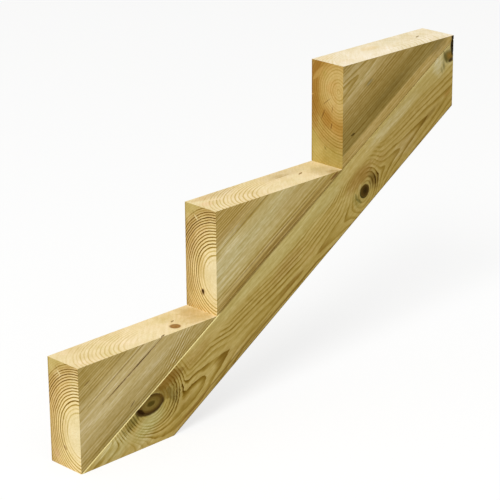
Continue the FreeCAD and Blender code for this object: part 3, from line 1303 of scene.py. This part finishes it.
def resin_pit(aside, across):
    """Depth of the pit in the middle riser: a steep-sided bell curve over a drop that narrows upwards."""
    up = (across - PIT_PLACE[2]) / PIT_SIZE[1]
    right = (aside - PIT_PLACE[1]) / PIT_SIZE[0] * (PIT_NARROWING + PIT_TAPER * np.clip(up, -1, 1))
    return PIT_DEPTH * np.exp(-(right ** 2 + up ** 2) ** 2)


def make_carrier():
    """Carrier board: level cut at the foot, plumb cut at the head, all four long edges eased."""
    side = planed_side("planed_carrier", CARRIER)
    cut = sawn_cut("sawn_carrier", CARRIER, CARRIER_CUT)
    rows, insets = eased_rows(CARRIER_BOTTOM, CARRIER_TOP, True)
    columns = np.linspace(0, 1, round(2 * HALF_THICK / WIDE_GRID) + 1)

    def front(across):
        return level_cut(0, across)

    def rear(across):
        return plumb_cut(RUN, across)

    materials = (side, cut, cut)
    return timber("carrier_timber", rows, insets, front, rear, materials, columns, sink=carrier_relief)


def make_block(step, board, riser, tread, extra=(), columns=(), sink=None, pit=None):
    """Step block: plumb riser cut in front, level tread cut above, the glued edges eased, the nose sharp.

    The upper block also ends at the plumb cut of the head, with a row where the two cuts meet.
    """
    label = STEPS[step]
    materials = (
        planed_side("planed_%s_block" % label, board),
        sawn_cut("sawn_%s_riser" % label, board, riser),
        sawn_cut("sawn_%s_tread" % label, board, tread),
    )

    def front(across):
        return plumb_cut(step * GOING, across)

    def rear(across):
        return np.minimum(level_cut((step + 1) * RISE, across), plumb_cut(RUN, across))

    crease = BLOCK_DEPTH - (RUN - step * GOING) * SIN
    folds = [crease] if crease > ARRIS else []
    rows, insets = eased_rows(0, BLOCK_DEPTH, False, np.concatenate((extra, folds)))
    across_thickness = joined_places(even_places(NEAR_FACE, HALF_THICK, GRID), columns)
    wide = (across_thickness - NEAR_FACE) / (2 * HALF_THICK)
    return timber("%s_step_timber" % label, rows, insets, front, rear, materials, wide, sink, pit)


timbers = (
    make_carrier(),
    make_block(0, LOWER, LOWER_RISER, LOWER_TREAD, extra=np.arange(*CRACK_ROWS), sink=drying_check),
    make_block(
        1, MIDDLE, MIDDLE_RISER, MIDDLE_TREAD,
        extra=np.arange(*PIT_ROWS), columns=np.arange(*PIT_COLUMNS), pit=resin_pit,
    ),
    make_block(2, UPPER, UPPER_RISER, UPPER_TREAD),
)
for piece, node in zip(timbers, ("carrier_board", *("%s_step_block" % label for label in STEPS))):
    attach(piece, "root")
    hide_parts(node)

glue = glue_finish("cured_wood_glue")
for label in STEPS:
    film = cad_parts["%s_glue_line" % label]
    film.data.materials.clear()
    film.data.materials.append(glue)


# Floor, light and camera

FLOOR_SIZE = 30.0
FLOOR_TONE = tone(205, 205, 203)
FLOOR_SEEN_TONE = tone(150, 150, 149)
FLOOR_GLOW = 0.72
FLOOR_ROUGHNESS = 0.9
WHITE = (1, 1, 1, 1)
AMBIENT = 0.5
LAMP_PLACE = (-4.6, -2.5, 6.2)
LAMP_SIZE = 3.8
LAMP_POWER = 420
CAMERA_PLACE = (-1.9514, -2.2684, 1.4376)
CAMERA_AZIMUTH = math.radians(-44.805)
CAMERA_ELEVATION = math.radians(20.402)
CAMERA_ROLL = math.radians(-0.431)
CAMERA_LENS = 152.07
AIM = Vector((0.33, 0.0, 0.26))


def seen_directly(nodes):
    """1 for rays that show the background itself: camera, glossy and transmission rays."""
    path = nodes.new("ShaderNodeLightPath")
    rays = [Field(path.outputs[ray]) for ray in ("Is Camera Ray", "Is Glossy Ray", "Is Transmission Ray")]
    return rays[0].math("MAXIMUM", rays[1]).math("MAXIMUM", rays[2])


def make_floor():
    """White studio floor: it glows where it is seen directly, so that only a soft shadow stays."""
    half = FLOOR_SIZE / 2
    corners = [(-half, -half, 0), (half, -half, 0), (half, half, 0), (-half, half, 0)]
    mesh = bpy.data.meshes.new("studio_floor")
    mesh.from_pydata(corners, [], [(0, 1, 2, 3)])
    floor = bpy.data.objects.new("studio_floor", mesh)
    bpy.context.scene.collection.objects.link(floor)
    material = bpy.data.materials.new("white_floor")
    material.use_nodes = True
    nodes = material.node_tree.nodes
    sockets = nodes["Principled BSDF"].inputs
    seen = seen_directly(nodes)
    plug(sockets["Base Color"], mixed(nodes, seen, FLOOR_TONE, FLOOR_SEEN_TONE))
    plug(sockets["Roughness"], FLOOR_ROUGHNESS)
    plug(sockets["Specular IOR Level"], 0.0)
    plug(sockets["Emission Color"], WHITE)
    plug(sockets["Emission Strength"], seen * FLOOR_GLOW)
    mesh.materials.append(material)


def make_world():
    """White surroundings: even ambient light, plain white where seen directly."""
    world = bpy.data.worlds.new("studio_surround")
    world.use_nodes = True
    nodes = world.node_tree.nodes
    seen = seen_directly(nodes)
    plug(nodes["Background"].inputs["Color"], WHITE)
    plug(nodes["Background"].inputs["Strength"], seen * (1.0 - AMBIENT) + AMBIENT)
    bpy.context.scene.world = world


def make_lamp():
    """Square soft lamp that faces the stringer."""
    lamp = bpy.data.lights.new("key_lamp", "AREA")
    lamp.size = LAMP_SIZE
    lamp.energy = LAMP_POWER
    holder = bpy.data.objects.new("key_lamp", lamp)
    holder.location = LAMP_PLACE
    holder.rotation_euler = (AIM - Vector(LAMP_PLACE)).to_track_quat("-Z", "Y").to_euler()
    bpy.context.scene.collection.objects.link(holder)


def make_camera():
    """Camera at its place, looking against the back direction of azimuth and elevation, then rolled."""
    level = math.cos(CAMERA_ELEVATION)
    aside = math.sin(CAMERA_AZIMUTH) * level
    ahead = math.cos(CAMERA_AZIMUTH) * level
    back = Vector((aside, -ahead, math.sin(CAMERA_ELEVATION)))
    right = Vector((0, 0, 1)).cross(back).normalized()
    up = back.cross(right)
    turn = Matrix((right, up, back)).transposed() @ Matrix.Rotation(CAMERA_ROLL, 3, "Z")
    lens = bpy.data.cameras.new("photo_camera")
    lens.lens = CAMERA_LENS
    camera = bpy.data.objects.new("photo_camera", lens)
    camera.matrix_world = Matrix.Translation(CAMERA_PLACE) @ turn.to_4x4()
    bpy.context.scene.collection.objects.link(camera)
    bpy.context.scene.camera = camera


make_floor()
make_world()
make_lamp()
make_camera()
bpy.context.scene.view_settings.view_transform = "Standard"
